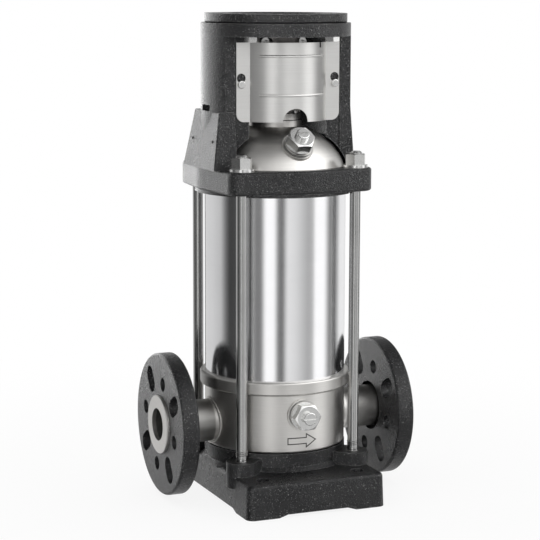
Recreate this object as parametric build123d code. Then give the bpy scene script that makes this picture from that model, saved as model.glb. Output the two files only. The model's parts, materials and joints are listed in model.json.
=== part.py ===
from build123d import *
from math import radians, sqrt, tan
import os

# Vertical in-line multistage pump: foot, wet end, motor stool, coupling and loose
# pipe flanges, each piece a solid of its own. Millimetres. The origin lies under the
# middle of the foot, +Z is up, the inlet is on -X and the outlet on +X, and the vent
# and drain plugs look towards -Y.

# ---------------------------------------------------------------- fits and seats
slide_gap = 0.3            # curved faces of neighbouring pieces, and parts that turn in the open
shaft_gap = 0.05           # radial running or slip fit on the pump shaft
thread_gap = 0.05          # radial gap of a screw in its own threaded hole
thread_runout = 0.5        # a blind thread is this much deeper than its screw
bite = 0.5                 # overlap of two forms that are cast or pressed as one
hexagon_crown = 0.475      # radius of a hexagon's flat end, as a share of its width
hexagon_crown_angle = 30.0

# ---------------------------------------------------------------- foot
foot_size_x = 145.0
foot_size_y = 220.0
foot_height = 33.3
foot_draft_angle = 2.5
foot_corner_radius = 8.0
foot_edge_radius = 4.0
foot_pad = 32.0            # the square pad that stands on the floor at each corner
foot_relief = 2.8          # lift of the underside between the pads
foot_relief_run = 9.0      # length of the slope between pad and relief
foot_wall = 9.0
foot_rib = 6.0
foot_deck = 9.0            # metal left above the cored pockets
foot_pocket_columns = 3
foot_pocket_rows = 5
anchor_hole_d = 13.0
anchor_inset_x = 22.5
anchor_inset_y = 20.0
seat_d = 141.0
seat_flare = 4.0           # cove where the seat stands on the foot
ear_rise = 12.7
ear_radius = 15.0
ear_drop = 12.0            # how far the ears run down the sides of the foot
ear_thread_depth = 19.0

# ---------------------------------------------------------------- loose flanges
flange_d = 140.0
flange_thickness = 17.0
flange_floor_gap = 5.0
flange_edge_radius = 2.5
flange_bore_gap = 4.0      # between the pipe and the flange that hangs on it
flange_pcd = 85.0
flange_hole_d = 14.0
flange_slot_width = 18.0
flange_slot_pcd = 96.0
flange_slot_travel = 9.0   # how much longer than wide the radial slots are
flange_turn = 12.5         # the loose flanges stand turned by this much
flange_holes = 4

# ---------------------------------------------------------------- inlet and outlet chamber
port_span = 250.0          # from sealing face to sealing face
port_bore_d = 32.0
pipe_d = 42.0
pipe_weld_radius = 1.5
pipe_reach = 6.0           # how far the pipes reach inside the chamber
duct_bore_d = 36.0         # bore of the inlet duct from its pipe to the well
collar_d = 57.6
collar_thickness = 6.2
collar_proud = 2.5         # how far the sealing face stands out of the loose flange
collar_socket = 2.2
collar_edge_radius = 0.8
chamber_d = 140.0
chamber_wall = 4.0
chamber_body_height = 58.8
chamber_edge_radius = 2.5
lip_height = 12.8
lip_wall = 5.15
lip_groove = 1.2
lip_groove_height = 1.5
lip_radius = 2.0
port_above_seat = 24.4     # port axis above the chamber's underside
well_d = 52.0
well_wall = 3.0
well_height = 47.4

# ---------------------------------------------------------------- sleeve and its seals
sleeve_d = 139.7
sleeve_wall = 2.0
sleeve_socket_depth = 9.7
gasket_thickness = 1.5

# ---------------------------------------------------------------- stages
stage_count = 6
stage_pitch = 27.0
stage_d = 104.0
stage_wall = 2.0
stage_floor = 2.0
guide_plate_z = 15.0       # underside of the return guide's plate above the stage's base
guide_plate_thickness = 2.0
guide_plate_gap = 4.0      # ring-shaped passage outside that plate
guide_hub_d = 28.0
guide_vane_count = 6
guide_vane_inner_r = 27.0
impeller_d = 90.0
impeller_eye_d = 47.0
impeller_neck_wall = 1.6
impeller_neck_length = 5.0
impeller_shroud = 1.5
impeller_passage = 6.5
impeller_front_z = 3.0     # underside of the front shroud above the stage's base
impeller_hub_d = 24.0
impeller_hub_z = 1.0
impeller_hub_height = 13.0
blade_count = 6
blade_thickness = 1.6
blade_arc_radius = 32.0
blade_arc_offset = 27.0
blade_inner_r = 19.0
blade_tip_inset = 0.6      # blades and vanes end this far inside their discs
spacer_d = 20.0
neck_ring_wall = 3.0
suction_cover_thickness = 3.0
suction_rim_thickness = 3.0
suction_spigot = 5.0
suction_arm_width = 5.0
suction_arm_count = 3
suction_hub_d = 27.0
bearing_d = 22.0
bottom_bearing_length = 10.0
stage_bearing_stage = 3
stage_bearing_proud = 4.0
cage_height = 32.0
cage_ring = 4.0
cage_rib = 4.0
cage_rib_count = 6
cage_shelf = 4.0           # width of the top ring inside the head's spigot

# ---------------------------------------------------------------- pump head
head_cup_depth = 2.5       # overlap of the head's rim down over the sleeve
head_cup_wall = 4.15
head_rim_height = 4.5
head_spigot_length = 9.5
head_spigot_wall = 3.6
head_band = 3.0            # cylindrical band under the dome
dome_height = 55.0
dome_wall = 4.0
neck_d = 52.0
neck_height = 57.0         # neck's top above the dome's equator
neck_depth = 30.0          # solid length of the neck below its top
seal_bore_d = 34.0

# ---------------------------------------------------------------- shaft, seal, coupling
shaft_d = 16.0
shaft_chamfer = 1.0
shaft_nut_cap = 2.0        # closed end of the nut below the shaft
shaft_nut_float = 0.8      # between that nut and the bottom bearing
shaft_nut_af = 24.0
shaft_nut_height = 9.0
gland_flange = 6.0
gland_d = 50.0
gland_spigot = 6.0
gland_gasket_thickness = 0.8
gland_bore_gap = 1.2
gland_screw_d = 4.0
gland_screw_head_d = 7.0
gland_screw_head = 2.4
gland_screw_depth = 8.0
gland_screw_count = 4
seal_seat_height = 7.0
seal_ring_d = 27.0
seal_ring_height = 9.0
seal_collar_d = 25.0
seal_collar_height = 12.0
coupling_d = 58.0
coupling_length = 74.0
coupling_above_gland = 6.0
coupling_split = 1.5
coupling_grip = 44.0       # length of pump shaft held by the coupling
coupling_edge = 2.0
motor_shaft_d = 19.0
coupling_screw_d = 6.0
coupling_screw_head_d = 10.0
coupling_screw_head = 6.0
coupling_screw_x = 19.0
coupling_screw_inset = 11.0
coupling_screw_length = 34.0
coupling_head_sink = 15.0
coupling_socket_af = 5.0
coupling_socket_depth = 3.0
pin_d = 5.0
pin_length = 36.0
pin_z_in_coupling = 24.0

# ---------------------------------------------------------------- motor stool
stool_height = 164.2
stool_skirt_drop = 1.0     # the skirt reaches this far below the head's rim
stool_skirt_height = 3.2
stool_skirt_wall = 5.2
stool_plate_thickness = 22.4
stool_plate_wall = 6.7
stool_ear_radius = 15.5
stool_edge_radius = 2.5
stool_shoulder_gap = 0.45
column_d = 147.2
column_inner_d = 102.0
column_half_width = 31.0
column_rebate = 1.2        # the front faces stand this far proud of the guard's seat
column_rebate_x = 55.5
column_root_radius = 8.0
column_edge_radius = 1.5
column_flare = 4.4
column_flare_height = 58.0
dome_clearance = 3.1
stool_ring_height = 12.7
stool_ring_bore_d = 90.0
pad_inner_x = 57.0
pad_top_x = 72.2
pad_bottom_x = 81.3
pad_top_half_width = 34.0
pad_bottom_half_width = 43.5
pad_height = 54.0
pad_edge_radius = 2.0
pad_slot_width = 20.0
pad_slot_height = 6.0
pad_slot_depth = 12.0

# ---------------------------------------------------------------- staybolts
staybolt_d = 10.6
staybolt_thread_d = 12.0
staybolt_lip_gap = 3.85    # between the rods and the chamber's lip
staybolt_hole_d = 13.5
staybolt_top_thread = 34.0
staybolt_tip = 2.5
staybolt_chamfer = 1.2
nut_af = 18.0
nut_height = 10.8
washer_d = 24.0
washer_thickness = 2.5

# ---------------------------------------------------------------- coupling guards
guard_height = 75.9
guard_sheet = 1.0
guard_arc_half_width = 40.0
guard_wing_end = 54.0
guard_corner_radius = 8.0
guard_bead_radius = 1.3
guard_bead_angle = 40.0
guard_bead_heights = (25.5, 63.0)
guard_cut_radius = 13.0
guard_notch_x = 29.0
guard_notch_width = 2.0
guard_notch_height = 5.0
guard_screw_x = 49.0
guard_screw_height = 36.0
guard_screw_d = 5.0
guard_screw_head_d = 8.0
guard_screw_head = 2.6
guard_screw_depth = 9.0
keyhole_travel = 6.0
keyhole_wide_d = 9.0

# ---------------------------------------------------------------- vent and drain plugs
plug_boss_d = 31.0
plug_boss_proud = 1.2
plug_boss_depth = 9.0
plug_thread_d = 20.0
plug_thread_length = 12.0
plug_gasket_d = 26.0
plug_collar_d = 27.4
plug_collar = 3.0
plug_af = 24.0
plug_hex = 10.0
plug_screw_bore_d = 8.0
plug_screw_head_d = 13.0
plug_screw_head = 5.0
plug_screw_slot = 1.6
plug_screw_slot_depth = 1.8
drain_above_port = 14.0

# ---------------------------------------------------------------- motor adapter
adapter_d = 140.0
adapter_thickness = 9.1
adapter_edge = 2.0
adapter_spigot = 3.0
adapter_bore_d = 72.0
register_d = 95.0
register_depth = 4.0
adapter_bolt_pcd = 118.0
motor_pcd = 115.0
motor_bolt_d = 8.0
motor_hole_d = 9.0
motor_bolt_af = 13.0
motor_bolt_head = 5.3
motor_bolt_bite = 7.0
motor_bolts = 4

# ---------------------------------------------------------------- levels and places
port_z = flange_d / 2 + flange_floor_gap
chamber_z = port_z - port_above_seat
lip_z = chamber_z + chamber_body_height
lip_top_z = lip_z + lip_height
sleeve_seat_z = lip_top_z - sleeve_socket_depth
sleeve_z = sleeve_seat_z + gasket_thickness
well_top_z = chamber_z + well_height
stack_z = well_top_z + suction_cover_thickness + suction_rim_thickness
stack_top_z = stack_z + stage_count * stage_pitch
head_z = stack_top_z + cage_height
head_shoulder_z = head_z + head_spigot_length
sleeve_top_z = head_shoulder_z - gasket_thickness
head_rim_z = sleeve_top_z - head_cup_depth
head_rim_top_z = head_shoulder_z + head_rim_height
dome_z = head_rim_top_z + head_band
neck_top_z = dome_z + neck_height
gland_top_z = neck_top_z + gland_gasket_thickness + gland_flange
coupling_z = gland_top_z + coupling_above_gland
coupling_top_z = coupling_z + coupling_length
shaft_top_z = coupling_z + coupling_grip
stool_z = head_rim_z - stool_skirt_drop
stool_plate_z = stool_z + stool_skirt_height
stool_plate_top_z = stool_plate_z + stool_plate_thickness
stool_top_z = stool_z + stool_height
stool_ring_z = stool_top_z - stool_ring_height
guard_top_z = stool_ring_z - motor_bolt_head - slide_gap
guard_z = guard_top_z - guard_height
guard_screw_z = guard_z + guard_screw_height
adapter_top_z = stool_top_z + adapter_thickness

shaft_r = shaft_d / 2
sleeve_r = sleeve_d / 2
sleeve_inner_r = sleeve_r - sleeve_wall
chamber_inner_r = chamber_d / 2 - chamber_wall
pipe_start_x = chamber_inner_r - pipe_reach
head_rim_r = sleeve_r + head_cup_wall
head_spigot_r = sleeve_inner_r - slide_gap
head_inner_r = head_spigot_r - head_spigot_wall
stool_recess_r = head_rim_r + slide_gap
stool_plate_r = stool_recess_r + stool_plate_wall
stage_inner_r = stage_d / 2 - stage_wall
flange_face_x = port_span / 2 - collar_proud
foot_top_x = foot_size_x - 2 * foot_height * tan(radians(foot_draft_angle))
staybolt_xy = (sleeve_r + lip_wall + staybolt_lip_gap + staybolt_d / 2) / sqrt(2)
staybolt_corners = [(x, y) for x in (-staybolt_xy, staybolt_xy) for y in (-staybolt_xy, staybolt_xy)]

# The vent plug stands where the dome's surface leans at 45 degrees.
vent_normal_length = sqrt(sleeve_r ** 2 + dome_height ** 2)
vent_plane = Plane(
    origin=(0, -sleeve_r ** 2 / vent_normal_length, dome_z + dome_height ** 2 / vent_normal_length),
    x_dir=(1, 0, 0),
    z_dir=(0, -1, 1),
)
drain_plane = Plane(
    origin=(0, -chamber_d / 2, port_z + drain_above_port),
    x_dir=(1, 0, 0),
    z_dir=(0, -1, 0),
)


# ---------------------------------------------------------------- shared shapes
def ring(outer_r, inner_r, z, top_z):
    """A plain ring or bush about the pump's axis."""
    return Pos(0, 0, z) * extrude(Circle(outer_r) - Circle(inner_r), top_z - z)


def rod(radius, z, top_z):
    """A plain round bar about the pump's axis."""
    return Pos(0, 0, z) * extrude(Circle(radius), top_z - z)


def turned(*points):
    """A piece turned about the pump's axis from corners given as (radius, height)."""
    return revolve(make_face(Plane.XZ * Polyline(*points, close=True)), Axis.Z)


def half_ellipsoid(radius, height, z):
    """The upper half of an ellipsoid that stands on the level z."""
    arc = EllipticalCenterArc((0, z), radius, height, start_angle=0, arc_size=90)
    outline = Line((0, z), (radius, z)) + arc
    outline += Line((0, z + height), (0, z))
    return revolve(make_face(Plane.XZ * outline), Axis.Z)


def rims(part, radius, z):
    """The circular edges of one radius at one height."""
    return [
        edge for edge in part.edges().filter_by(GeomType.CIRCLE)
        if abs(edge.radius - radius) < 0.01 and abs(edge.arc_center.Z - z) < 0.01
    ]


def hexagon_bar(across_flats, height):
    """A hexagon bar on the level zero whose top corners are turned off."""
    bar = extrude(RegularPolygon(across_flats / 2, 6, major_radius=False), height)
    corner_r = across_flats / sqrt(3)
    flat_r = across_flats * hexagon_crown
    drop = (corner_r - flat_r) * tan(radians(hexagon_crown_angle))
    blank_r = corner_r + bite
    blank = turned((0, 0), (blank_r, 0), (blank_r, height - drop), (flat_r, height), (0, height))
    return bar & blank


def around(part, count, turn=0.0):
    """Copies of a piece spread evenly about the pump's axis."""
    return [Rot(0, 0, turn + 360 / count * k) * part for k in range(count)]


def at_corners(part):
    """The four copies of a staybolt piece."""
    return [Pos(x, y, 0) * part for x, y in staybolt_corners]


def swept_blade(inner_r, outer_r, z, height, lean=1):
    """One curved blade: an arc of sheet between two radii, leaning with or against the spin."""
    sheet = Pos(blade_arc_offset, 0) * (
        Circle(blade_arc_radius + blade_thickness / 2) - Circle(blade_arc_radius - blade_thickness / 2)
    )
    zone = Circle(outer_r) - Circle(inner_r)
    half = Pos(0, lean * outer_r) * Rectangle(2 * outer_r, 2 * outer_r)
    return Pos(0, 0, z) * extrude(sheet & zone & half, height)


def plug_boss(plane):
    """Boss that carries a plug, on the plane of the surface it stands in."""
    return plane.location * (Pos(0, 0, -plug_boss_depth) * extrude(
        Circle(plug_boss_d / 2), plug_boss_depth + plug_boss_proud))


def plug_hole(plane):
    """Threaded hole of a plug, longer than its boss at both ends."""
    return plane.location * (Pos(0, 0, -2 * plug_boss_depth) * extrude(
        Circle(plug_thread_d / 2 + thread_gap), 3 * plug_boss_depth))


def save(name, *solids):
    """Writes one piece, or one set of like pieces, to its own file."""
    shape = solids[0] if len(solids) == 1 else Compound(children=list(solids))
    export_step(shape, f"parts/{name}.step")


# ---------------------------------------------------------------- foot
def foot_relief_cut(half_length, width):
    """The shallow lift of the underside between two pads, with sloped ends."""
    inner = half_length - foot_pad - foot_relief_run
    outer = half_length - foot_pad
    outline = Polyline((-outer, -1), (-outer, 0), (-inner, foot_relief), (inner, foot_relief),
                       (outer, 0), (outer, -1), close=True)
    return extrude(Plane.XZ * make_face(outline), width / 2, both=True)


def foot_pockets():
    """The cored pockets of the underside, which leave ribs, outer walls and solid corners."""
    size_x = (foot_size_x - 2 * foot_wall - (foot_pocket_columns - 1) * foot_rib) / foot_pocket_columns
    size_y = (foot_size_y - 2 * foot_wall - (foot_pocket_rows - 1) * foot_rib) / foot_pocket_rows
    depth = foot_height - foot_deck
    pockets = []
    for column in range(foot_pocket_columns):
        for row in range(foot_pocket_rows):
            at_side = column in (0, foot_pocket_columns - 1)
            if at_side and row in (0, foot_pocket_rows - 1):
                continue
            x = (column - (foot_pocket_columns - 1) / 2) * (size_x + foot_rib)
            y = (row - (foot_pocket_rows - 1) / 2) * (size_y + foot_rib)
            pockets.append(Pos(x, y, depth / 2) * Box(size_x, size_y, depth))
    return pockets


def base_plate():
    """Cast foot with corner pads, cored underside, chamber seat and staybolt ears."""
    block = extrude(RectangleRounded(foot_size_x, foot_size_y, foot_corner_radius), foot_height,
                    taper=foot_draft_angle)
    block = fillet(block.faces().sort_by(Axis.Z)[-1].edges(), foot_edge_radius)
    seat_root_z = foot_height - foot_edge_radius
    seat = turned(
        (0, seat_root_z), (seat_d / 2 + seat_flare, seat_root_z), (seat_d / 2 + seat_flare, foot_height),
        (seat_d / 2, foot_height + seat_flare), (seat_d / 2, chamber_z), (0, chamber_z),
    )
    seat &= Pos(0, 0, seat_root_z + foot_height / 2) * Box(foot_top_x, foot_size_y, foot_height)
    ear_top_z = foot_height + ear_rise
    ear_foot_z = foot_height - ear_drop
    arms = []
    for x, y in staybolt_corners:
        outer = Pos(x, y) * Circle(ear_radius)
        inner = Pos(x / 2, y / 2) * Circle(ear_radius)
        outline = make_hull([outer.edge(), inner.edge()])
        arms.append(Pos(0, 0, ear_foot_z) * extrude(outline, ear_top_z - ear_foot_z))
    plate = block + seat + arms
    plate -= foot_relief_cut(foot_size_x / 2, 2 * foot_size_y)
    plate -= Rot(0, 0, 90) * foot_relief_cut(foot_size_y / 2, 2 * foot_size_x)
    plate -= foot_pockets()
    anchor_x = foot_size_x / 2 - anchor_inset_x
    anchor_y = foot_size_y / 2 - anchor_inset_y
    for x in (-anchor_x, anchor_x):
        for y in (-anchor_y, anchor_y):
            plate -= Pos(x, y, 0) * rod(anchor_hole_d / 2, -1, foot_height + 1)
    threads = rod(staybolt_thread_d / 2 + thread_gap, ear_top_z - ear_thread_depth, ear_top_z + 1)
    plate -= at_corners(threads)
    return plate


# ---------------------------------------------------------------- inlet and outlet chamber
def inlet_outlet_chamber():
    """Stainless chamber: outer cup with the sleeve's socket, inlet duct and well, outlet stub."""
    outer_r = chamber_d / 2
    lip_r = sleeve_r + lip_wall
    groove_z = lip_z - lip_groove_height
    shell = turned(
        (0, chamber_z), (outer_r, chamber_z), (outer_r, groove_z), (outer_r - lip_groove, groove_z),
        (outer_r - lip_groove, lip_z), (lip_r, lip_z), (lip_r, lip_top_z), (sleeve_r + shaft_gap, lip_top_z),
        (sleeve_r + shaft_gap, sleeve_seat_z), (chamber_inner_r, sleeve_seat_z),
        (chamber_inner_r, chamber_z + chamber_wall), (0, chamber_z + chamber_wall),
    )
    stub_end = port_span / 2 - collar_thickness + collar_socket
    pipe = extrude(Circle(pipe_d / 2), stub_end - pipe_start_x)
    outlet_start = Plane(origin=(pipe_start_x, 0, port_z), z_dir=(1, 0, 0)).location
    inlet_start = Plane(origin=(-pipe_start_x, 0, port_z), z_dir=(-1, 0, 0)).location
    outlet = outlet_start * pipe
    inlet = inlet_start * pipe
    shell += [outlet, inlet]
    welds = [edge for edge in shell.edges()
             if abs(abs(edge.center().X) - outer_r) < pipe_d / 2 and abs(edge.center().Z - port_z) < 1
             and edge.geom_type != GeomType.CIRCLE and edge.length > pipe_d]
    shell = fillet(welds, pipe_weld_radius)
    shell = fillet(rims(shell, outer_r, chamber_z), chamber_edge_radius)
    shell = fillet(rims(shell, lip_r, lip_top_z) + rims(shell, lip_r, lip_z), lip_radius)
    boss = plug_boss(drain_plane) - rod(chamber_inner_r - chamber_wall, chamber_z, lip_z)
    centre = Plane(origin=(0, 0, port_z), z_dir=(-1, 0, 0)).location
    duct = centre * extrude(Circle(pipe_d / 2), chamber_inner_r + bite)
    well = rod(well_d / 2 + well_wall, chamber_z + chamber_wall - 1, well_top_z)
    shell += [boss, duct, well]
    shell -= rod(well_d / 2, chamber_z + chamber_wall, well_top_z + 1)
    shell -= centre * extrude(Circle(duct_bore_d / 2), pipe_start_x)
    bore = extrude(Circle(port_bore_d / 2), port_span)
    shell -= [inlet_start * bore, outlet_start * bore]
    return shell - plug_hole(drain_plane)


def port_collar(side):
    """Stub end welded on a pipe: it carries the sealing face and keeps the loose flange on."""
    body = extrude(Circle(collar_d / 2), collar_thickness)
    body = fillet(body.faces().sort_by(Axis.Z)[-1].edges(), collar_edge_radius)
    body -= extrude(Circle(pipe_d / 2), collar_socket)
    body -= extrude(Circle(port_bore_d / 2), collar_thickness)
    back_x = port_span / 2 - collar_thickness
    return Plane(origin=(side * back_x, 0, port_z), z_dir=(side, 0, 0)).location * body


def loose_flange(side):
    """Loose flange that turns on its pipe, with round holes and radial slots for two bolt circles."""
    body = extrude(Circle(flange_d / 2), flange_thickness)
    body = fillet(body.faces().sort_by(Axis.Z)[-1].edges() + body.faces().sort_by(Axis.Z)[0].edges(),
                  flange_edge_radius)
    seat_depth = collar_thickness - collar_proud + slide_gap
    body -= extrude(Circle(pipe_d / 2 + flange_bore_gap), flange_thickness)
    body -= Pos(0, 0, flange_thickness - seat_depth) * extrude(Circle(collar_d / 2 + slide_gap), seat_depth)
    slot = SlotOverall(flange_slot_width + flange_slot_travel, flange_slot_width)
    for k in range(flange_holes):
        turn = side * flange_turn + 360 / flange_holes * k
        hole = Pos(flange_pcd / 2, 0) * extrude(Circle(flange_hole_d / 2), flange_thickness)
        body -= Rot(0, 0, turn) * hole
        body -= Rot(0, 0, turn + 45) * Pos(flange_slot_pcd / 2, 0) * extrude(slot, flange_thickness)
    back_x = flange_face_x - flange_thickness
    return Plane(origin=(side * back_x, 0, port_z), x_dir=(0, -side, 0), z_dir=(side, 0, 0)).location * body


# ---------------------------------------------------------------- sleeve and stages
def sleeve_gasket(z):
    """Flat ring on which an end of the sleeve seals."""
    return ring(sleeve_r, sleeve_inner_r, z, z + gasket_thickness)


def suction_cover():
    """Cover of the well: it leads the water to the first eye and carries the lower bearing."""
    eye_r = impeller_eye_d / 2 + slide_gap
    rim_z = well_top_z + suction_rim_thickness
    cover = turned(
        (eye_r, well_top_z - suction_spigot), (well_d / 2 - shaft_gap, well_top_z - suction_spigot),
        (well_d / 2 - shaft_gap, well_top_z), (well_d / 2 + well_wall, well_top_z),
        (well_d / 2 + well_wall, rim_z), (stage_d / 2, rim_z), (stage_d / 2, stack_z), (eye_r, stack_z),
    )
    arm = Pos(eye_r / 2 + bite, 0, well_top_z - suction_spigot / 2) * Box(
        eye_r + 2 * bite, suction_arm_width, suction_spigot)
    hub = rod(suction_hub_d / 2, well_top_z - suction_spigot, well_top_z)
    cover += [hub] + around(arm, suction_arm_count)
    return cover - rod(bearing_d / 2, well_top_z - suction_spigot - 1, well_top_z + 1)


def shaft_bush(z, length):
    """Plain bearing bush for the pump shaft."""
    return ring(bearing_d / 2, shaft_r + shaft_gap, z, z + length)


def stage_chamber(index):
    """Stage chamber: cup wall, top floor with the next eye, and return guide vanes."""
    z = stack_z + index * stage_pitch
    floor_z = z + stage_pitch - stage_floor
    plate_z = z + guide_plate_z
    plate_top_z = plate_z + guide_plate_thickness
    wall = ring(stage_d / 2, stage_inner_r, z, z + stage_pitch)
    floor = ring(stage_inner_r + bite, impeller_eye_d / 2 + neck_ring_wall, floor_z, z + stage_pitch)
    plate = ring(stage_inner_r - guide_plate_gap, guide_hub_d / 2, plate_z, plate_top_z)
    vane = swept_blade(guide_vane_inner_r, stage_inner_r - guide_plate_gap - blade_tip_inset,
                       plate_top_z, floor_z - plate_top_z, lean=-1)
    return wall + floor + plate + around(vane, guide_vane_count)


def neck_ring(index):
    """Seal ring in a chamber floor that runs close round the next impeller's neck."""
    top_z = stack_z + (index + 1) * stage_pitch
    eye_r = impeller_eye_d / 2
    return ring(eye_r + neck_ring_wall, eye_r + slide_gap, top_z - stage_floor, top_z)


def impeller(index):
    """Closed impeller: neck and front shroud below, swept blades, back shroud and hub."""
    z = stack_z + index * stage_pitch
    outer_r = impeller_d / 2
    eye_r = impeller_eye_d / 2
    front_z = z + impeller_front_z
    front_top_z = front_z + impeller_shroud
    back_z = front_top_z + impeller_passage
    body = ring(outer_r, eye_r - impeller_neck_wall, front_z, front_top_z)
    body += ring(eye_r, eye_r - impeller_neck_wall, front_top_z - impeller_neck_length, front_top_z)
    body += rod(outer_r, back_z, back_z + impeller_shroud)
    body += rod(impeller_hub_d / 2, z + impeller_hub_z, z + impeller_hub_z + impeller_hub_height)
    blade = swept_blade(blade_inner_r, outer_r - blade_tip_inset, front_top_z, impeller_passage)
    body += around(blade, blade_count)
    return body - rod(shaft_r + shaft_gap, z, z + stage_pitch)


def impeller_spacer(index):
    """Distance sleeve between two hubs on the shaft."""
    z = stack_z + index * stage_pitch + impeller_hub_z + impeller_hub_height
    return ring(spacer_d / 2, shaft_r + shaft_gap, z, z + stage_pitch - impeller_hub_height)


def stage_bearing():
    """Bearing bush in the return guide of one middle stage, running on a spacer."""
    z = stack_z + (stage_bearing_stage - 1) * stage_pitch + guide_plate_z
    top_z = z + guide_plate_thickness + stage_bearing_proud
    return ring(guide_hub_d / 2, spacer_d / 2 + shaft_gap, z, top_z)


def discharge_cage():
    """Open cage that presses the stages down and lets the water out into the sleeve."""
    outer_r = sleeve_inner_r - slide_gap
    lower_r = stage_d / 2
    lower = ring(lower_r, stage_inner_r - cage_rib, stack_top_z, stack_top_z + cage_ring)
    upper_inner_r = head_inner_r - cage_shelf
    upper = ring(outer_r, upper_inner_r, head_z - cage_ring, head_z)
    rib = make_face(Plane.XZ * Polyline(
        (stage_inner_r - cage_rib, stack_top_z + bite), (lower_r - bite, stack_top_z + bite),
        (outer_r - bite, head_z - bite), (upper_inner_r, head_z - bite), close=True))
    return lower + upper + around(extrude(rib, cage_rib / 2, both=True), cage_rib_count)


# ---------------------------------------------------------------- pump head and seal
def pump_head():
    """Stainless head: rim over the sleeve, spigot inside it, dome, seal neck and vent boss."""
    body = half_ellipsoid(sleeve_r, dome_height, dome_z)
    body += rod(sleeve_r, head_shoulder_z, dome_z)
    body += rod(head_rim_r, head_rim_z, head_rim_top_z)
    body += rod(head_spigot_r, head_z, head_rim_z + 1)
    body += rod(neck_d / 2, dome_z, neck_top_z)
    body += plug_boss(vent_plane)
    body -= ring(sleeve_r + shaft_gap, head_spigot_r, head_rim_z - 1, head_shoulder_z)
    hollow = half_ellipsoid(head_inner_r, dome_height - dome_wall, dome_z)
    hollow -= plug_boss(vent_plane)
    hollow -= rod(neck_d / 2, neck_top_z - neck_depth, neck_top_z)
    body -= hollow
    body -= rod(head_inner_r, head_z - 1, dome_z)
    body -= rod(seal_bore_d / 2, dome_z, neck_top_z + 1)
    body -= plug_hole(vent_plane)
    screw_r = gland_screw_circle_r()
    hole_r = gland_screw_d / 2 + thread_gap
    hole = Pos(screw_r, 0, 0) * rod(hole_r, neck_top_z - gland_screw_depth, neck_top_z + 1)
    return body - around(hole, gland_screw_count, 45)


def gland_screw_circle_r():
    """Radius on which the gland's screws stand, midway in the neck's wall."""
    return (seal_bore_d + gland_d) / 4


def seal_gland():
    """Gland cover that holds the stationary seal seat in the neck."""
    z = neck_top_z + gland_gasket_thickness
    body = ring(gland_d / 2, shaft_r + gland_bore_gap, z, gland_top_z)
    body += ring(seal_bore_d / 2 - shaft_gap, shaft_r + gland_bore_gap, neck_top_z - gland_spigot, z + 1)
    hole = Pos(gland_screw_circle_r(), 0, 0) * rod(gland_screw_d / 2 + thread_gap, z - 1, gland_top_z + 1)
    body -= around(hole, gland_screw_count, 45)
    return body


def gland_gasket():
    """Thin gasket between the neck and the gland."""
    body = ring(gland_d / 2, seal_bore_d / 2, neck_top_z, neck_top_z + gland_gasket_thickness)
    hole = Pos(gland_screw_circle_r(), 0, 0) * rod(gland_screw_d / 2 + thread_gap, neck_top_z - 1, gland_top_z)
    return body - around(hole, gland_screw_count, 45)


def gland_screw():
    """Cheese-head screw of the gland."""
    screw = rod(gland_screw_d / 2, neck_top_z - gland_screw_depth + 1, gland_top_z)
    return Pos(gland_screw_circle_r(), 0, 0) * (
        screw + rod(gland_screw_head_d / 2, gland_top_z, gland_top_z + gland_screw_head))


def seal_seat():
    """Stationary seal seat pressed against the gland's spigot."""
    top_z = neck_top_z - gland_spigot
    return ring(seal_bore_d / 2 - shaft_gap, shaft_r + gland_bore_gap, top_z - seal_seat_height, top_z)


def seal_ring_top_z():
    """Level of the running face of the shaft seal."""
    return neck_top_z - gland_spigot - seal_seat_height - shaft_gap


def seal_ring():
    """Rotating seal ring on the shaft."""
    top_z = seal_ring_top_z()
    return ring(seal_ring_d / 2, shaft_r + shaft_gap, top_z - seal_ring_height, top_z)


def seal_collar():
    """Collar clamped on the shaft that carries and turns the seal ring."""
    top_z = seal_ring_top_z() - seal_ring_height
    return ring(seal_collar_d / 2, shaft_r + shaft_gap, top_z - seal_collar_height, top_z)


# ---------------------------------------------------------------- shaft and coupling
def bottom_bearing_z():
    """Lower end of the bearing bush in the suction cover."""
    return well_top_z - suction_spigot / 2 - bottom_bearing_length / 2


def shaft_foot_z():
    """Lower end of the pump shaft, inside its end nut."""
    return bottom_bearing_z() - shaft_nut_float - shaft_nut_height + shaft_nut_cap


def pump_shaft():
    """Pump shaft with its chamfered top and the cross hole of the coupling pin."""
    shaft = rod(shaft_r, shaft_foot_z(), shaft_top_z)
    shaft = chamfer(rims(shaft, shaft_r, shaft_top_z), shaft_chamfer)
    pin_hole = Plane(origin=(0, 0, coupling_z + pin_z_in_coupling), z_dir=(1, 0, 0)).location * extrude(
        Circle(pin_d / 2 + thread_gap), shaft_d, both=True)
    return shaft - pin_hole


def shaft_end_nut():
    """Nut with washer face that closes the foot of the shaft."""
    top_z = bottom_bearing_z() - shaft_nut_float
    nut = Pos(0, 0, top_z) * (Rot(180, 0, 0) * hexagon_bar(shaft_nut_af, shaft_nut_height))
    return nut - rod(shaft_r + thread_gap, shaft_foot_z(), top_z + 1)


def stack_nut():
    """Nut that holds the impellers and spacers together above the last stage."""
    z = stack_top_z + impeller_hub_z
    nut = Pos(0, 0, z) * hexagon_bar(shaft_nut_af, shaft_nut_height)
    return nut - rod(shaft_r + thread_gap, z - 1, z + shaft_nut_height + 1)


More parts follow.
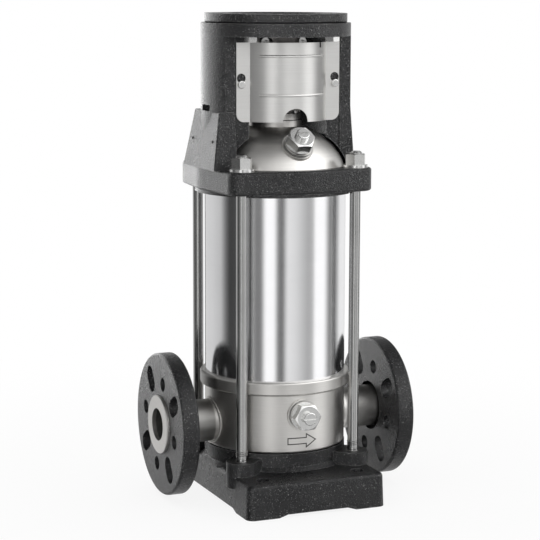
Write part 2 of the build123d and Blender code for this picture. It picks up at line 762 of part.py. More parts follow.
def coupling_half(side):
    """One half of the split coupling, with the two shaft bores and the screw seats."""
    body = rod(coupling_d / 2, coupling_z, coupling_top_z)
    body = chamfer(rims(body, coupling_d / 2, coupling_z) + rims(body, coupling_d / 2, coupling_top_z),
                   coupling_edge)
    body -= rod(shaft_r + shaft_gap, coupling_z - 1, shaft_top_z + 2)
    body -= rod(motor_shaft_d / 2, shaft_top_z, coupling_top_z + 1)
    keep = Pos(0, side * (coupling_d / 2 + coupling_split / 2), (coupling_z + coupling_top_z) / 2) * Box(
        2 * coupling_d, coupling_d, 2 * coupling_length)
    body &= keep
    body -= Plane(origin=(0, 0, coupling_z + pin_z_in_coupling), z_dir=(1, 0, 0)).location * extrude(
        Circle(pin_d / 2 + thread_gap), pin_length / 2 + 1, both=True)
    for x, z in coupling_screw_places():
        across = Plane(origin=(x, 0, z), z_dir=(0, side, 0))
        body -= across.location * extrude(Circle(coupling_screw_d / 2 + thread_gap), coupling_d)
        if side < 0:
            body -= across.location * (Pos(0, 0, coupling_head_sink) * extrude(
                Circle(coupling_screw_head_d / 2 + slide_gap), coupling_d))
    return body


def coupling_screw_places():
    """Places of the coupling's screws as (x, z)."""
    levels = (coupling_z + coupling_screw_inset, coupling_top_z - coupling_screw_inset)
    return [(x, z) for x in (-coupling_screw_x, coupling_screw_x) for z in levels]


def coupling_screw(x, z):
    """Socket-head screw that draws the coupling halves together."""
    body = extrude(Circle(coupling_screw_d / 2), coupling_screw_length)
    body += Pos(0, 0, -coupling_screw_head) * extrude(Circle(coupling_screw_head_d / 2), coupling_screw_head)
    body -= Pos(0, 0, -coupling_screw_head) * extrude(
        RegularPolygon(coupling_socket_af / 2, 6, major_radius=False), coupling_socket_depth)
    return Plane(origin=(x, -coupling_head_sink, z), z_dir=(0, 1, 0)).location * body


def coupling_pin():
    """Cross pin that hangs the pump shaft in the coupling."""
    return Plane(origin=(0, 0, coupling_z + pin_z_in_coupling), z_dir=(1, 0, 0)).location * extrude(
        Circle(pin_d / 2), pin_length / 2, both=True)


# ---------------------------------------------------------------- motor stool
def stool_plate():
    """Lower plate of the stool: round collar joined to four bolt ears, with a skirt below."""
    outlines = [Circle(stool_plate_r).edge()]
    outlines += [(Pos(x, y) * Circle(stool_ear_radius)).edge() for x, y in staybolt_corners]
    plate = Pos(0, 0, stool_plate_z) * extrude(make_hull(outlines), stool_plate_thickness)
    plate = fillet(plate.faces().sort_by(Axis.Z)[-1].edges() + plate.faces().sort_by(Axis.Z)[0].edges(),
                   stool_edge_radius)
    return plate + rod(stool_recess_r + stool_skirt_wall, stool_z, stool_plate_z + stool_edge_radius)


def stool_wall():
    """Round wall that the two columns are cut from, flared towards the plate."""
    inner_r = column_inner_d / 2
    outer_r = column_d / 2
    flare_top_z = stool_plate_top_z + column_flare_height
    return turned(
        (inner_r, stool_plate_top_z - 1), (outer_r + column_flare, stool_plate_top_z - 1),
        (outer_r, flare_top_z), (outer_r, stool_top_z), (stool_ring_bore_d / 2, stool_top_z),
        (stool_ring_bore_d / 2, stool_ring_z), (inner_r, stool_ring_z),
    )


def window_cut(side):
    """The open front or back between the columns, rounded where it meets plate and ring."""
    height = stool_ring_z - stool_plate_top_z
    outline = Rectangle(column_d, height)
    outline = fillet(outline.vertices().sort_by(Axis.Y)[:2], column_root_radius)
    centre_y = side * (column_half_width + column_rebate + column_d / 2)
    middle = (0, centre_y, (stool_ring_z + stool_plate_top_z) / 2)
    frame = Plane(origin=middle, x_dir=(0, 1, 0), z_dir=(1, 0, 0))
    cut = frame.location * extrude(outline, column_d, both=True)
    rebate = Pos(0, side * (column_half_width + column_rebate), (stool_ring_z + stool_plate_top_z) / 2) * Box(
        2 * column_rebate_x, 2 * column_rebate, height)
    return [cut, rebate]


def stool_columns():
    """The two columns and the ring, with rounded upright edges outside."""
    wall = stool_wall()
    for side in (-1, 1):
        wall -= window_cut(side)
    face_y = column_half_width + column_rebate
    outer_x = column_rebate_x + bite
    upright = [edge for edge in wall.edges()
               if abs(abs(edge.center().Y) - face_y) < bite and abs(edge.center().X) > outer_x
               and abs((edge @ 1 - edge @ 0).Z) > pad_height / 2]
    return fillet(upright, column_edge_radius)


def name_pad():
    """Sloping block on the inlet side of the left column, flat outside."""
    top_z = stool_plate_top_z + pad_height
    root_z = stool_plate_top_z - 1

    def section(outer_x, half_width, z):
        middle = -(outer_x + pad_inner_x) / 2
        return Pos(middle, 0, z) * Rectangle(outer_x - pad_inner_x, 2 * half_width)

    bottom = section(pad_bottom_x, pad_bottom_half_width, root_z)
    top = section(pad_top_x, pad_top_half_width, top_z)
    block = loft([bottom, top])
    outer = [edge for edge in block.edges()
             if edge.center().X < -(pad_top_x + pad_inner_x) / 2 and edge.center().Z > root_z + 1]
    return fillet(outer, pad_edge_radius)


def motor_stool():
    """Cast stool: plate on the head's rim, two columns, ring for the motor adapter."""
    body = stool_plate() + stool_columns() + name_pad()
    body -= rod(column_inner_d / 2, stool_plate_top_z, stool_ring_z)
    body -= rod(sleeve_r + stool_shoulder_gap, stool_z - 1, stool_plate_top_z + 1)
    body -= rod(stool_recess_r, stool_z - 1, head_rim_top_z)
    body -= half_ellipsoid(sleeve_r + dome_clearance, dome_height + dome_clearance, dome_z)
    slot_z = stool_plate_top_z + pad_height + pad_slot_height / 2
    body -= Pos(-column_d / 2, 0, slot_z) * Box(2 * pad_slot_depth, pad_slot_width, pad_slot_height)
    body -= at_corners(rod(staybolt_hole_d / 2, stool_z - 1, stool_plate_top_z + 1))
    bolt_hole = Pos(adapter_bolt_pcd / 2, 0, 0) * rod(motor_hole_d / 2, stool_ring_z - 1, stool_top_z + 1)
    body -= around(bolt_hole, motor_bolts, 45)
    for x in (-guard_screw_x, guard_screw_x):
        for side in (-1, 1):
            face = Plane(origin=(x, side * column_half_width, guard_screw_z), z_dir=(0, -side, 0))
            body -= face.location * extrude(Circle(guard_screw_d / 2 + thread_gap), guard_screw_depth + 1)
    return body


# ---------------------------------------------------------------- staybolts
def staybolt():
    """Long tie rod with rolled threads at both ends."""
    foot_z = foot_height + ear_rise - ear_thread_depth + 1
    top_z = stool_plate_top_z + washer_thickness + nut_height + staybolt_tip
    bolt = rod(staybolt_d / 2, foot_z, top_z)
    bolt += rod(staybolt_thread_d / 2, foot_z, foot_height + ear_rise)
    bolt += rod(staybolt_thread_d / 2, top_z - staybolt_top_thread, top_z)
    return chamfer(rims(bolt, staybolt_thread_d / 2, top_z), staybolt_chamfer)


def staybolt_nut():
    """Hexagon nut on a staybolt."""
    z = stool_plate_top_z + washer_thickness
    nut = Pos(0, 0, z) * hexagon_bar(nut_af, nut_height)
    return nut - rod(staybolt_thread_d / 2 + thread_gap, z - 1, z + nut_height + 1)


def staybolt_washer():
    """Washer under a staybolt nut."""
    return ring(washer_d / 2, staybolt_thread_d / 2 + slide_gap, stool_plate_top_z,
                stool_plate_top_z + washer_thickness)


# ---------------------------------------------------------------- coupling guards
def guard_outline():
    """Front view of a guard: rounded lower corners, keyholes, vent cut-out and relief notch."""
    outline = Pos(0, guard_height / 2) * Rectangle(2 * guard_wing_end, guard_height)
    outline = fillet(outline.vertices().sort_by(Axis.Y)[:2], guard_corner_radius)
    outline -= Circle(guard_cut_radius)
    outline -= Pos(guard_notch_x, guard_height) * Rectangle(guard_notch_width, 2 * guard_notch_height)
    for x in (-guard_screw_x, guard_screw_x):
        outline -= Pos(x, guard_screw_height) * Circle(guard_screw_d / 2 + slide_gap)
        outline -= Pos(x, guard_screw_height + keyhole_travel / 2) * Rectangle(
            guard_screw_d + 2 * slide_gap, keyhole_travel)
        outline -= Pos(x, guard_screw_height + keyhole_travel) * Circle(keyhole_wide_d / 2)
    return outline


def coupling_guard(side):
    """Sheet guard over one window: bowed middle with two beads, flat wings on the columns."""
    outer_y = column_half_width + guard_sheet
    arc_r = sqrt(guard_arc_half_width ** 2 + outer_y ** 2)
    band = ring(arc_r, arc_r - guard_sheet, guard_z, guard_top_z)
    band &= Pos(0, -arc_r, guard_z) * Box(
        2 * guard_arc_half_width, 2 * (arc_r - column_half_width), 3 * guard_height)
    wing = Pos((guard_arc_half_width - bite + guard_wing_end) / 2, -(column_half_width + guard_sheet / 2),
               (guard_z + guard_top_z) / 2) * Box(
        guard_wing_end - guard_arc_half_width + bite, guard_sheet, guard_height)
    sheet = band + wing + mirror(wing, Plane.YZ)
    front = Plane(origin=(0, 0, guard_z), x_dir=(1, 0, 0), z_dir=(0, -1, 0))
    sheet &= front.location * extrude(guard_outline(), 2 * arc_r)
    for height in guard_bead_heights:
        bead = make_face(Plane.XZ * Pos(arc_r, guard_z + height) * Circle(guard_bead_radius).edge())
        bead = Rot(0, 0, -90 - guard_bead_angle) * revolve(bead, Axis.Z, 2 * guard_bead_angle)
        sheet += bead - rod(arc_r - guard_sheet / 2, guard_z, guard_top_z)
    return sheet if side < 0 else Rot(0, 0, 180) * sheet


def guard_screw(x, side):
    """Pan-head screw in the narrow end of a keyhole."""
    face = Plane(origin=(x, side * (column_half_width + guard_sheet), guard_screw_z), z_dir=(0, side, 0))
    head = extrude(Circle(guard_screw_head_d / 2), guard_screw_head)
    head = fillet(head.faces().sort_by(Axis.Z)[-1].edges(), guard_screw_head / 2)
    shank_length = guard_screw_depth + guard_sheet
    shank = Pos(0, 0, -shank_length) * extrude(Circle(guard_screw_d / 2), shank_length)
    return face.location * (head + shank)


# ---------------------------------------------------------------- vent and drain plugs
def plug_gasket(frame):
    """Sealing ring under a plug."""
    body = extrude(Circle(plug_gasket_d / 2) - Circle(plug_thread_d / 2 + thread_gap), gasket_thickness)
    return frame.location * (Pos(0, 0, plug_boss_proud) * body)


def plug_seat():
    """Height of a plug's collar above its boss frame."""
    return plug_boss_proud + gasket_thickness


def screw_plug(frame):
    """Hexagon plug with collar, thread and a bored centre for its bleed screw."""
    seat = plug_seat()
    body = Pos(0, 0, seat - plug_thread_length) * extrude(Circle(plug_thread_d / 2), plug_thread_length)
    body += Pos(0, 0, seat) * extrude(Circle(plug_collar_d / 2), plug_collar)
    body += Pos(0, 0, seat + plug_collar) * hexagon_bar(plug_af, plug_hex)
    body -= Pos(0, 0, seat - plug_thread_length) * extrude(
        Circle(plug_screw_bore_d / 2), plug_thread_length + plug_collar + plug_hex)
    return frame.location * body


def bleed_screw(frame):
    """Slotted screw that opens the bore of a plug."""
    top = plug_seat() + plug_collar + plug_hex
    shank_length = top - plug_seat() + plug_thread_length
    body = Pos(0, 0, top - shank_length) * extrude(Circle(plug_screw_bore_d / 2 - shaft_gap), shank_length + 1)
    head = extrude(Circle(plug_screw_head_d / 2), plug_screw_head)
    head = fillet(head.faces().sort_by(Axis.Z)[-1].edges(), plug_screw_head / 4)
    head -= Pos(0, 0, plug_screw_head - plug_screw_slot_depth / 2) * Box(
        plug_screw_head_d + 1, plug_screw_slot, plug_screw_slot_depth)
    return frame.location * (body + Pos(0, 0, top + shaft_gap) * head)


# ---------------------------------------------------------------- motor adapter
def motor_adapter():
    """Adapter flange on the stool's ring: spigot below, register and bolt circle for a motor above."""
    body = rod(adapter_d / 2, stool_top_z, adapter_top_z)
    body = fillet(rims(body, adapter_d / 2, stool_top_z), adapter_edge)
    body += rod(stool_ring_bore_d / 2 - shaft_gap, stool_top_z - adapter_spigot, stool_top_z + 1)
    body -= rod(adapter_bore_d / 2, stool_top_z - adapter_spigot - 1, adapter_top_z + 1)
    body -= rod(register_d / 2, adapter_top_z - register_depth, adapter_top_z + 1)
    motor_hole = Pos(motor_pcd / 2, 0, 0) * rod(motor_hole_d / 2, stool_top_z - 1, adapter_top_z + 1)
    body -= around(motor_hole, motor_bolts)
    thread = Pos(adapter_bolt_pcd / 2, 0, 0) * rod(
        motor_bolt_d / 2 + thread_gap, stool_top_z - 1, stool_top_z + motor_bolt_bite + thread_runout)
    return body - around(thread, motor_bolts, 45)


def adapter_bolt():
    """Hexagon bolt that holds the adapter on the ring from below."""
    head = Pos(0, 0, stool_ring_z) * (Rot(180, 0, 0) * hexagon_bar(motor_bolt_af, motor_bolt_head))
    return Pos(adapter_bolt_pcd / 2, 0, 0) * (
        head + rod(motor_bolt_d / 2, stool_ring_z, stool_top_z + motor_bolt_bite))


# ---------------------------------------------------------------- pieces to files
def write_static_pieces():
    """The foot, wet end, head, stool and their fasteners."""
    save("base_plate", base_plate())
    save("inlet_outlet_chamber", inlet_outlet_chamber())
    save("inlet_collar", port_collar(-1))
    save("outlet_collar", port_collar(1))
    save("outer_sleeve", ring(sleeve_r, sleeve_inner_r, sleeve_z, sleeve_top_z))
    save("sleeve_gasket_lower", sleeve_gasket(sleeve_seat_z))
    save("sleeve_gasket_upper", sleeve_gasket(sleeve_top_z))
    save("pump_head", pump_head())
    save("motor_stool", motor_stool())
    save("staybolts", *at_corners(staybolt()))
    save("staybolt_nuts", *at_corners(staybolt_nut()))
    save("staybolt_washers", *at_corners(staybolt_washer()))
    save("coupling_guard_front", coupling_guard(-1))
    save("coupling_guard_back", coupling_guard(1))
    save("guard_screws", *[guard_screw(x, side) for x in (-guard_screw_x, guard_screw_x) for side in (-1, 1)])
    save("motor_adapter_flange", motor_adapter())
    save("adapter_bolts", *around(adapter_bolt(), motor_bolts, 45))
    save("seal_gland", seal_gland())
    save("gland_gasket", gland_gasket())
    save("gland_screws", *around(gland_screw(), gland_screw_count, 45))
    save("seal_seat", seal_seat())


def write_plugs():
    """Vent plug in the head and drain plug in the chamber, each with gasket and bleed screw."""
    for name, frame in (("vent", vent_plane), ("drain", drain_plane)):
        save(f"{name}_plug", screw_plug(frame))
        save(f"{name}_plug_gasket", plug_gasket(frame))
        save(f"{name}_screw", bleed_screw(frame))


def write_stages():
    """The stage stack between chamber and head."""
    save("suction_cover", suction_cover())
    save("bottom_bearing", shaft_bush(bottom_bearing_z(), bottom_bearing_length))
    save("stage_bearing", stage_bearing())
    save("discharge_cage", discharge_cage())
    for index in range(stage_count):
        save(f"stage_chamber_{index + 1}", stage_chamber(index))
        save(f"impeller_{index + 1}", impeller(index))
    save("neck_rings", *[neck_ring(index) for index in range(stage_count - 1)])
    save("impeller_spacers", *[impeller_spacer(index) for index in range(stage_count)])


def write_rotor():
    """The shaft with its nuts, seal parts and coupling."""
    save("pump_shaft", pump_shaft())
    save("shaft_end_nut", shaft_end_nut())
    save("stack_nut", stack_nut())
    save("seal_ring", seal_ring())
    save("seal_collar", seal_collar())
    save("coupling_half_front", coupling_half(-1))
    save("coupling_half_back", coupling_half(1))
    save("coupling_screws", *[coupling_screw(x, z) for x, z in coupling_screw_places()])
    save("coupling_pin", coupling_pin())


os.makedirs("parts", exist_ok=True)
write_static_pieces()
write_plugs()
write_stages()
write_rotor()
save("inlet_flange", loose_flange(-1))
save("outlet_flange", loose_flange(1))
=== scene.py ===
"""Looks of the vertical multistage pump: finishes, small fittings, studio and camera.

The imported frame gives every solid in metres, with +Z up, the inlet on -X and the plugs
towards -Y. This script dresses those solids, adds the thin details that they leave to it,
and sets up the studio.
"""

import json
import logging
import math
from dataclasses import dataclass, field, replace
from enum import Enum

import bmesh
import bpy
from mathutils import Matrix, Vector


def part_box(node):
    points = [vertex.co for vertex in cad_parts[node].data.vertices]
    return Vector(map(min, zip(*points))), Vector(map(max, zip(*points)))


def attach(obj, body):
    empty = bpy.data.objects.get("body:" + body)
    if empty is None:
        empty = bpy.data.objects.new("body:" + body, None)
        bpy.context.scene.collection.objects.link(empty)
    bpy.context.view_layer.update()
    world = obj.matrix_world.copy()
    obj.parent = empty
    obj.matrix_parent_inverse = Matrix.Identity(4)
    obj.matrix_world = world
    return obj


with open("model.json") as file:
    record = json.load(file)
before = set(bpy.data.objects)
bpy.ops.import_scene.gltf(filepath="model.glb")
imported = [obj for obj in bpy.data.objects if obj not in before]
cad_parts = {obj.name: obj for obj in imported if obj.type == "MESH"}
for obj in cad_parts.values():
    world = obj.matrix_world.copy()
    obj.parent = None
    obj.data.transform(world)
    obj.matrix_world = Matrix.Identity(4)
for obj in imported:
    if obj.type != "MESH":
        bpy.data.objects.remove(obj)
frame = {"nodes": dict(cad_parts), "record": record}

log = logging.getLogger("pump")
MM = 0.001

Colour = tuple[float, float, float]
Stops = list[tuple[float, Colour]]
WHITE = (1.0, 1.0, 1.0)


class Body(Enum):
    """The body that the thin details ride on."""

    PUMP = "pump"


class Grain(Enum):
    """Which way the fine marks of a metal finish run."""

    TURNED = "turned"
    UPRIGHT = "upright"
    CLOUDY = "cloudy"


# ---------------------------------------------------------------- node helpers
def add_node(tree: bpy.types.NodeTree, kind: str, **values: object) -> bpy.types.Node:
    """Adds one node and sets its properties or its input sockets.

    Args:
        tree: The node tree to add to.
        kind: The node's type name.
        **values: Properties by name; "in_Name" or "in_0" sets an input socket.

    Returns:
        The new node.
    """
    node = tree.nodes.new(kind)
    for name, value in values.items():
        if name.startswith("in_"):
            key = name[3:].replace("_", " ")
            node.inputs[int(key) if key.isdigit() else key].default_value = value
        else:
            setattr(node, name, value)
    return node


def math_node(tree: bpy.types.NodeTree, operation: str, *terms: object) -> bpy.types.NodeSocket:
    """Adds a Math node whose inputs are sockets or numbers.

    Args:
        tree: The node tree to add to.
        operation: The Math node's operation.
        *terms: Sockets to link or numbers to set, in order.

    Returns:
        The node's output socket.
    """
    node = add_node(tree, "ShaderNodeMath", operation=operation)
    for place, term in enumerate(terms):
        if isinstance(term, bpy.types.NodeSocket):
            tree.links.new(term, node.inputs[place])
        else:
            node.inputs[place].default_value = term
    return node.outputs[0]


def ramp_node(
    tree: bpy.types.NodeTree, value: bpy.types.NodeSocket, stops: Stops, interpolation: str = "LINEAR"
) -> bpy.types.NodeSocket:
    """Adds a Color Ramp fed by a value.

    Args:
        tree: The node tree to add to.
        value: The socket that drives the ramp.
        stops: Position and linear colour of each stop, in order.
        interpolation: How the ramp blends between stops.

    Returns:
        The ramp's colour socket.
    """
    node = add_node(tree, "ShaderNodeValToRGB")
    ramp = node.color_ramp
    ramp.interpolation = interpolation
    while len(ramp.elements) < len(stops):
        ramp.elements.new(1.0)
    for element, (position, colour) in zip(ramp.elements, stops):
        element.position = position
        element.color = (*colour, 1.0)
    tree.links.new(value, node.inputs[0])
    return node.outputs[0]


def mix_colour(
    tree: bpy.types.NodeTree, share: bpy.types.NodeSocket, first: object, second: object, blend: str = "MIX"
) -> bpy.types.NodeSocket:
    """Adds a Mix node for two colours.

    Args:
        tree: The node tree to add to.
        share: The socket that says how much of the second colour shows.
        first: A socket or a linear colour.
        second: A socket or a linear colour.
        blend: The Mix node's blend type.

    Returns:
        The mixed colour socket.
    """
    node = add_node(tree, "ShaderNodeMix", data_type="RGBA", blend_type=blend)
    tree.links.new(share, node.inputs[0])
    for place, colour in ((6, first), (7, second)):
        if isinstance(colour, bpy.types.NodeSocket):
            tree.links.new(colour, node.inputs[place])
        else:
            node.inputs[place].default_value = (*colour, 1.0)
    return node.outputs[2]


def vary_roughness(
    tree: bpy.types.NodeTree, shader: bpy.types.Node, pattern: bpy.types.NodeSocket, middle: float,
    swing: float,
) -> None:
    """Lets a pattern of 0 to 1 move the shader's roughness about its middle value.

    Args:
        tree: The material's node tree.
        shader: The Principled shader.
        pattern: The socket that drives the change.
        middle: The roughness where the pattern is one half.
        swing: The difference between the pattern's 0 and 1.
    """
    rough = math_node(tree, "MULTIPLY_ADD", pattern, swing, middle - swing / 2)
    tree.links.new(rough, shader.inputs["Roughness"])


def grey(value: float) -> Colour:
    """Returns a neutral linear colour."""
    return (value, value, value)


# ---------------------------------------------------------------- finishes
@dataclass(frozen=True)
class CastPaint:
    """Satin paint over a sand casting: sand grain, soft swells, and pale flecks that paint glints on the
    grain and a highlight along the edges.
    """

    name: str = "cast_black"
    colour: Colour = (0.006, 0.006, 0.0065)
    dust: Colour = (0.012, 0.012, 0.0125)
    dust_range: tuple[float, float] = (0.35, 0.75)
    # Pale flecks in the base colour are painted glints of light on the sand grain.
    fleck: Colour = (0.15, 0.15, 0.148)
    fleck_scale: float = 950.0
    fleck_range: tuple[float, float] = (0.655, 0.74)
    # The next three set how strongly the pale flecks gather along edges as a painted highlight.
    edge_gain: float = 0.14
    edge_reach: float = 1.4 * MM
    edge_slope: float = 4.0
    roughness: float = 0.28
    roughness_swing: float = 0.12
    specular: float = 0.25
    grain_scale: float = 1100.0
    pit_scale: float = 620.0
    pit_share: float = 0.55
    grain_height: float = 0.52 * MM
    swell_scale: float = 60.0
    swell_height: float = 0.15 * MM
    mottle_scale: float = 21.0

    def build(self) -> bpy.types.Material:
        """Makes the material.

        Returns:
            The new material.
        """
        material, tree, shader = new_material(self.name)
        coords = add_node(tree, "ShaderNodeTexCoord").outputs["Object"]
        grain = noise(tree, coords, self.grain_scale, 3.0)
        pits = add_node(tree, "ShaderNodeTexVoronoi", in_Scale=self.pit_scale)
        tree.links.new(coords, pits.inputs["Vector"])
        swell = noise(tree, coords, self.swell_scale, 2.0)
        surface = math_node(tree, "MULTIPLY_ADD", pits.outputs["Distance"], self.pit_share, grain)
        fine = bump(tree, surface, self.grain_height)
        coarse = bump(tree, swell, self.swell_height, fine)
        tree.links.new(coarse, shader.inputs["Normal"])
        mottle = noise(tree, coords, self.mottle_scale, 4.0)
        colour = ramp_node(tree, mottle, list(zip(self.dust_range, (self.colour, self.dust))))
        # Painted glints and painted edge highlight: pale flecks mixed into the base colour, more of them near
        # edges.
        specks = noise(tree, coords, self.fleck_scale, 1.0)
        gained = math_node(tree, "MULTIPLY_ADD", self.edge_mask(tree), self.edge_gain, specks)
        share = ramp_node(tree, gained, list(zip(self.fleck_range, (grey(0.0), grey(1.0)))))
        flecked = mix_colour(tree, share, colour, self.fleck)
        tree.links.new(flecked, shader.inputs["Base Color"])
        vary_roughness(tree, shader, mottle, self.roughness, self.roughness_swing)
        shader.inputs["Specular IOR Level"].default_value = self.specular
        return material

    def edge_mask(self, tree: bpy.types.NodeTree) -> bpy.types.NodeSocket:
        """Finds the edges, where the pale flecks gather as a painted highlight.

        Args:
            tree: The material's node tree.

        Returns:
            A value that is 0 on flat faces and grows towards their edges.
        """
        rounded = add_node(tree, "ShaderNodeBevel", samples=4, in_Radius=self.edge_reach)
        flat = add_node(tree, "ShaderNodeNewGeometry")
        match = add_node(tree, "ShaderNodeVectorMath", operation="DOT_PRODUCT")
        tree.links.new(rounded.outputs[0], match.inputs[0])
        tree.links.new(flat.outputs["True Normal"], match.inputs[1])
        return math_node(tree, "MULTIPLY_ADD", match.outputs["Value"], -self.edge_slope, self.edge_slope)


@dataclass(frozen=True)
class Metal:
    """Bare metal with fine marks that run round it, up it or in no direction."""

    name: str
    colour: Colour
    shade: Colour
    roughness: float
    roughness_swing: float
    grain: Grain
    grain_scale: float = 2600.0
    grain_stretch: float = 0.012
    grain_height: float = 0.004 * MM
    cloud_scale: float = 22.0
    mark_share: float = 0.45
    tone_range: tuple[float, float] = (0.32, 0.68)
    # pipe_from, pipe_shade and pipe_edge set the painted shade on the pipe stubs.
    pipe_from: float = 0.0
    pipe_shade: float = 0.5
    pipe_edge: float = 600.0

    def build(self) -> bpy.types.Material:
        """Makes the material.

        Returns:
            The new material.
        """
        material, tree, shader = new_material(self.name)
        shader.inputs["Metallic"].default_value = 1.0
        coords = add_node(tree, "ShaderNodeTexCoord").outputs["Object"]
        stretch = {
            Grain.TURNED: (self.grain_stretch, self.grain_stretch, 1.0),
            Grain.UPRIGHT: (1.0, 1.0, self.grain_stretch),
            Grain.CLOUDY: (0.25, 0.25, 0.25),
        }[self.grain]
        mapping = add_node(tree, "ShaderNodeMapping", in_Scale=stretch)
        tree.links.new(coords, mapping.inputs["Vector"])
        marks = noise(tree, mapping.outputs["Vector"], self.grain_scale, 3.0)
        cloud = noise(tree, coords, self.cloud_scale, 3.0)
        cloudy = math_node(tree, "MULTIPLY", cloud, 1.0 - self.mark_share)
        blend = math_node(tree, "MULTIPLY_ADD", marks, self.mark_share, cloudy)
        colour = ramp_node(tree, blend, list(zip(self.tone_range, (self.shade, self.colour))))
        # Painted shade: the pipe stubs come out darker than the chamber.
        if self.pipe_from:
            colour = self.pickled(tree, coords, colour)
        tree.links.new(colour, shader.inputs["Base Color"])
        vary_roughness(tree, shader, blend, self.roughness, self.roughness_swing)
        tree.links.new(bump(tree, marks, self.grain_height), shader.inputs["Normal"])
        return material

    def pickled(
        self, tree: bpy.types.NodeTree, coords: bpy.types.NodeSocket, colour: bpy.types.NodeSocket
    ) -> bpy.types.NodeSocket:
        """Paints shade on the pipe stubs: darkens their colour beyond pipe_from along X.

        Args:
            tree: The material's node tree.
            coords: The object coordinates.
            colour: The colour of the brushed surface.

        Returns:
            The colour socket of the whole surface.
        """
        parts = add_node(tree, "ShaderNodeSeparateXYZ")
        tree.links.new(coords, parts.inputs[0])
        reach = math_node(tree, "ABSOLUTE", parts.outputs["X"])
        step = math_node(tree, "MULTIPLY", math_node(tree, "SUBTRACT", reach, self.pipe_from), self.pipe_edge)
        share = math_node(tree, "MINIMUM", math_node(tree, "MAXIMUM", step, 0.0), 1.0)
        return mix_colour(tree, share, colour, grey(self.pipe_shade), "MULTIPLY")


@dataclass(frozen=True)
class Moulded:
    """Rubber, carbon or plastic: dark or dull, with a fine skin and soft changes of tone."""

    name: str
    colour: Colour
    shade: Colour
    roughness: float
    roughness_swing: float = 0.12
    skin_scale: float = 900.0
    skin_height: float = 0.03 * MM
    tone_scale: float = 40.0
    tone_range: tuple[float, float] = (0.3, 0.7)

    def build(self) -> bpy.types.Material:
        """Makes the material.

        Returns:
            The new material.
        """
        material, tree, shader = new_material(self.name)
        coords = add_node(tree, "ShaderNodeTexCoord").outputs["Object"]
        skin = noise(tree, coords, self.skin_scale, 3.0)
        tone = noise(tree, coords, self.tone_scale, 3.0)
        colour = ramp_node(tree, tone, list(zip(self.tone_range, (self.shade, self.colour))))
        tree.links.new(colour, shader.inputs["Base Color"])
        vary_roughness(tree, shader, skin, self.roughness, self.roughness_swing)
        tree.links.new(bump(tree, skin, self.skin_height), shader.inputs["Normal"])
        return material


def new_material(name: str) -> tuple[bpy.types.Material, bpy.types.NodeTree, bpy.types.Node]:
    """Makes a node material with only a Principled shader and its output.

    Args:
        name: The material's name.

    Returns:
        The material, its node tree and the shader node.
    """
    material = bpy.data.materials.new(name)
    material.use_nodes = True
    tree = material.node_tree
    tree.nodes.clear()
    shader = add_node(tree, "ShaderNodeBsdfPrincipled")
    output = add_node(tree, "ShaderNodeOutputMaterial")
    tree.links.new(shader.outputs["BSDF"], output.inputs["Surface"])
    return material, tree, shader


def noise(
    tree: bpy.types.NodeTree, vector: bpy.types.NodeSocket, scale: float, detail: float
) -> bpy.types.NodeSocket:
    """Adds a Noise Texture and returns its value socket.

    Args:
        tree: The node tree to add to.
        vector: The coordinates that it reads.
        scale: The pattern's scale, per metre.
        detail: The number of octaves.

    Returns:
        The value socket.
    """
    node = add_node(tree, "ShaderNodeTexNoise", in_Scale=scale, in_Detail=detail)
    tree.links.new(vector, node.inputs["Vector"])
    return node.outputs["Fac"]


def bump(
    tree: bpy.types.NodeTree, height: bpy.types.NodeSocket, distance: float,
    normal: bpy.types.NodeSocket | None = None,
) -> bpy.types.NodeSocket:
    """Adds a Bump node over an optional earlier one.

    Args:
        tree: The node tree to add to.
        height: The socket that gives the height.
        distance: The height of the relief in metres.
        normal: The normal of the Bump node below, if any.

    Returns:
        The normal socket.
    """
    node = add_node(tree, "ShaderNodeBump", in_Distance=distance, in_Strength=1.0)
    tree.links.new(height, node.inputs["Height"])
    if normal is not None:
        tree.links.new(normal, node.inputs["Normal"])
    return node.outputs["Normal"]


SATIN = Metal(
    "stainless_satin", (0.76, 0.745, 0.72), (0.64, 0.63, 0.61), 0.38, 0.10, Grain.TURNED,
    grain_height=0.006 * MM,
)

FINISHES = (
    CastPaint(),
    SATIN,
    # chamber_satin carries painted shade on its pipe stubs.
    replace(SATIN, name="chamber_satin", pipe_from=70.5 * MM),
    Metal(
        "stainless_mirror", (0.86, 0.86, 0.87), (0.80, 0.80, 0.81), 0.14, 0.04, Grain.TURNED,
        grain_height=0.030 * MM,
    ),
    Metal("guard_sheet", (0.80, 0.795, 0.78), (0.70, 0.695, 0.68), 0.35, 0.08, Grain.TURNED),
    Metal(
        "zinc_fastener", (0.80, 0.80, 0.79), (0.70, 0.70, 0.69), 0.24, 0.10, Grain.CLOUDY,
        grain_height=0.001 * MM,
    ),
    Metal("rod_steel", (0.50, 0.50, 0.495), (0.40, 0.40, 0.395), 0.24, 0.08, Grain.UPRIGHT),
    Metal("etched_steel", (0.11, 0.11, 0.105), (0.06, 0.06, 0.058), 0.50, 0.10, Grain.CLOUDY),
    Metal("stage_steel", (0.55, 0.54, 0.53), (0.42, 0.41, 0.40), 0.35, 0.10, Grain.TURNED),
    Metal("shaft_steel", (0.66, 0.66, 0.67), (0.52, 0.52, 0.53), 0.20, 0.08, Grain.TURNED),
    Metal(
        "coupling_iron", (0.30, 0.29, 0.28), (0.18, 0.17, 0.165), 0.42, 0.14, Grain.CLOUDY,
        grain_height=0.020 * MM,
    ),
    Moulded("seal_rubber", (0.020, 0.020, 0.021), (0.012, 0.012, 0.013), 0.62),
    Moulded("seal_carbide", (0.075, 0.076, 0.080), (0.045, 0.046, 0.050), 0.24),
    Moulded("bearing_black", (0.050, 0.048, 0.047), (0.030, 0.029, 0.028), 0.45),
)

# Nodes whose finish differs from that of their material slot.
NODE_FINISHES = {"staybolts": "rod_steel", "inlet_outlet_chamber": "chamber_satin"}


